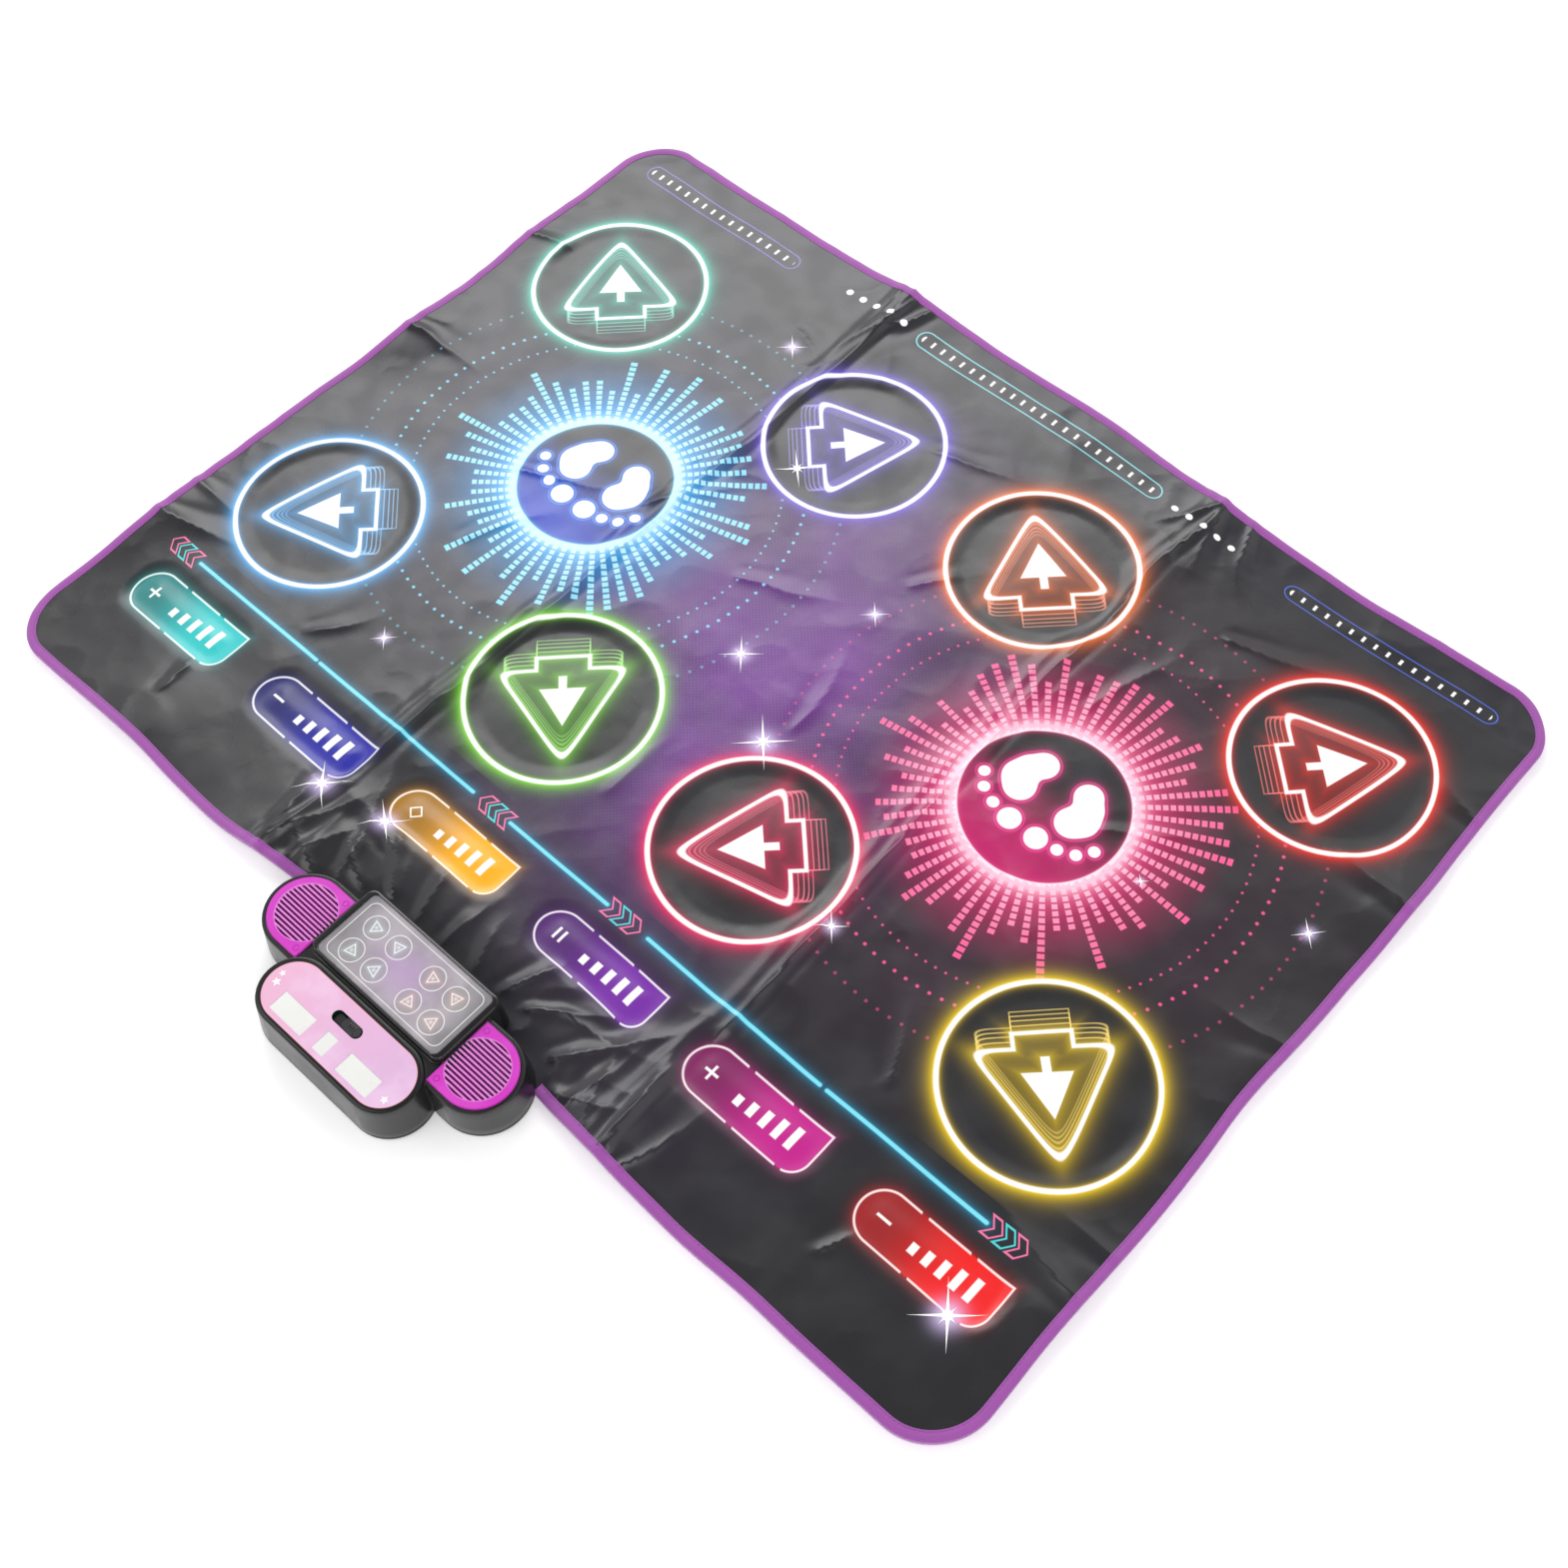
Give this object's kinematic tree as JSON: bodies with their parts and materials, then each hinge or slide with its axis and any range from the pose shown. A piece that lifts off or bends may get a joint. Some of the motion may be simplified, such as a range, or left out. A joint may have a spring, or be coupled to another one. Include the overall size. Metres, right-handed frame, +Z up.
{
  "type": "dance mat",
  "caption": "Foldable two-player electronic dance mat with printed foot pads, function pads and a clamped control box with speakers, displays, power switch and battery bay.",
  "frame": {"origin": "on the floor, at the centre of the footprint of mat and control box together", "axes": "+X along the mat's long side, +Y away from the control box, +Z up from the floor"},
  "size_m": [1.1, 0.945, 0.0439],
  "materials": {
    "base_cloth": "matte woven",
    "circuit_film": "satin",
    "foam": "matte",
    "cover_film": "satin",
    "binding": "matte woven",
    "pad_teal": "satin",
    "pad_cyan": "satin",
    "pad_violet": "satin",
    "pad_green": "satin",
    "pad_orange": "satin",
    "pad_pink": "satin",
    "pad_red": "satin",
    "pad_yellow": "satin",
    "function_teal": "satin",
    "function_indigo": "satin",
    "function_amber": "satin",
    "function_purple": "satin",
    "function_magenta": "satin",
    "function_scarlet": "satin",
    "housing": "satin",
    "gloss_black": "gloss",
    "window_clear": "gloss",
    "diffuser": "satin",
    "circuit_board": "satin",
    "led_clear": "gloss",
    "grille": "satin",
    "speaker": "satin",
    "label": "satin",
    "display": "satin",
    "knob": "satin",
    "switch_can": "satin",
    "cell": "satin",
    "contact": "bright",
    "screw": "bright",
    "rubber": "matte"
  },
  "bodies": {
    "mat_mid": {"base_cloth_mid": "base_cloth", "circuit_mid": "circuit_film", "foam_mid": "foam", "film_mid": "cover_film", "binding_mid": "binding", "lower_housing": "housing", "upper_housing": "housing", "display_bezel": "gloss_black", "display_window": "window_clear", "icon_diffuser": "diffuser", "led_board": "circuit_board", "icon_leds": "led_clear", "grille_left": "grille", "grille_right": "grille", "speaker_left": "speaker", "speaker_right": "speaker", "label_panel": "label", "score_display_left": "display", "level_display": "display", "score_display_right": "display", "slide_switch": "switch_can", "main_board": "circuit_board", "battery_cells": "cell", "battery_contacts": "contact", "housing_screws": "screw", "rubber_feet": "rubber", "membrane_tail": "circuit_film"},
    "mat_left": {"base_cloth_left": "base_cloth", "circuit_left": "circuit_film", "foam_left": "foam", "film_left": "cover_film", "binding_left": "binding"},
    "mat_right": {"base_cloth_right": "base_cloth", "circuit_right": "circuit_film", "foam_right": "foam", "film_right": "cover_film", "binding_right": "binding"},
    "step_pad_1": {"step_pad_1": "pad_teal"},
    "step_pad_2": {"step_pad_2": "pad_cyan"},
    "step_pad_3": {"step_pad_3": "pad_violet"},
    "step_pad_4": {"step_pad_4": "pad_green"},
    "step_pad_5": {"step_pad_5": "pad_orange"},
    "step_pad_6": {"step_pad_6": "pad_pink"},
    "step_pad_7": {"step_pad_7": "pad_red"},
    "step_pad_8": {"step_pad_8": "pad_yellow"},
    "func_pad_1": {"func_pad_1": "function_teal"},
    "func_pad_2": {"func_pad_2": "function_indigo"},
    "func_pad_3": {"func_pad_3": "function_amber"},
    "func_pad_4": {"func_pad_4": "function_purple"},
    "func_pad_5": {"func_pad_5": "function_magenta"},
    "func_pad_6": {"func_pad_6": "function_scarlet"},
    "power_switch": {"switch_knob": "knob"},
    "battery_door": {"battery_door": "housing", "door_screw": "screw"}
  },
  "joints": [
    {"name": "left_fold", "type": "hinge", "parent": "mat_mid", "child": "mat_left", "pos_m": [-0.184, 0.055, -0.00025], "axis": [0, -1, 0], "range_deg": [0, 179.9]},
    {"name": "right_fold", "type": "hinge", "parent": "mat_mid", "child": "mat_right", "pos_m": [0.184, 0.055, -0.0042], "axis": [0, 1, 0], "range_deg": [0, 179.9]},
    {"name": "step_pad_1_press", "type": "slide", "parent": "mat_left", "child": "step_pad_1", "axis": [0, 0, -1], "range_m": [0, 0.0012], "stiffness_N_per_m": 2000, "springref_m": -0.0005},
    {"name": "step_pad_2_press", "type": "slide", "parent": "mat_left", "child": "step_pad_2", "axis": [0, 0, -1], "range_m": [0, 0.0012], "stiffness_N_per_m": 2000, "springref_m": -0.0005},
    {"name": "step_pad_3_press", "type": "slide", "parent": "mat_mid", "child": "step_pad_3", "axis": [0, 0, -1], "range_m": [0, 0.0012], "stiffness_N_per_m": 2000, "springref_m": -0.0005},
    {"name": "step_pad_4_press", "type": "slide", "parent": "mat_mid", "child": "step_pad_4", "axis": [0, 0, -1], "range_m": [0, 0.0012], "stiffness_N_per_m": 2000, "springref_m": -0.0005},
    {"name": "step_pad_5_press", "type": "slide", "parent": "mat_mid", "child": "step_pad_5", "axis": [0, 0, -1], "range_m": [0, 0.0012], "stiffness_N_per_m": 2000, "springref_m": -0.0005},
    {"name": "step_pad_6_press", "type": "slide", "parent": "mat_mid", "child": "step_pad_6", "axis": [0, 0, -1], "range_m": [0, 0.0012], "stiffness_N_per_m": 2000, "springref_m": -0.0005},
    {"name": "step_pad_7_press", "type": "slide", "parent": "mat_right", "child": "step_pad_7", "axis": [0, 0, -1], "range_m": [0, 0.0012], "stiffness_N_per_m": 2000, "springref_m": -0.0005},
    {"name": "step_pad_8_press", "type": "slide", "parent": "mat_right", "child": "step_pad_8", "axis": [0, 0, -1], "range_m": [0, 0.0012], "stiffness_N_per_m": 2000, "springref_m": -0.0005},
    {"name": "func_pad_1_press", "type": "slide", "parent": "mat_left", "child": "func_pad_1", "axis": [0, 0, -1], "range_m": [0, 0.0012], "stiffness_N_per_m": 1000, "springref_m": -0.0003},
    {"name": "func_pad_2_press", "type": "slide", "parent": "mat_left", "child": "func_pad_2", "axis": [0, 0, -1], "range_m": [0, 0.0012], "stiffness_N_per_m": 1000, "springref_m": -0.0003},
    {"name": "func_pad_3_press", "type": "slide", "parent": "mat_mid", "child": "func_pad_3", "axis": [0, 0, -1], "range_m": [0, 0.0012], "stiffness_N_per_m": 1000, "springref_m": -0.0003},
    {"name": "func_pad_4_press", "type": "slide", "parent": "mat_mid", "child": "func_pad_4", "axis": [0, 0, -1], "range_m": [0, 0.0012], "stiffness_N_per_m": 1000, "springref_m": -0.0003},
    {"name": "func_pad_5_press", "type": "slide", "parent": "mat_right", "child": "func_pad_5", "axis": [0, 0, -1], "range_m": [0, 0.0012], "stiffness_N_per_m": 1000, "springref_m": -0.0003},
    {"name": "func_pad_6_press", "type": "slide", "parent": "mat_right", "child": "func_pad_6", "axis": [0, 0, -1], "range_m": [0, 0.0012], "stiffness_N_per_m": 1000, "springref_m": -0.0003},
    {"name": "power_switch_slide", "type": "slide", "parent": "mat_mid", "child": "power_switch", "axis": [-1, 0, 0], "range_m": [0, 0.0105]},
    {"name": "battery_door_hinge", "type": "hinge", "parent": "mat_mid", "child": "battery_door", "pos_m": [0, -0.4139, 0.0015], "axis": [1, 0, 0], "range_deg": [0, 75]}
  ]
}
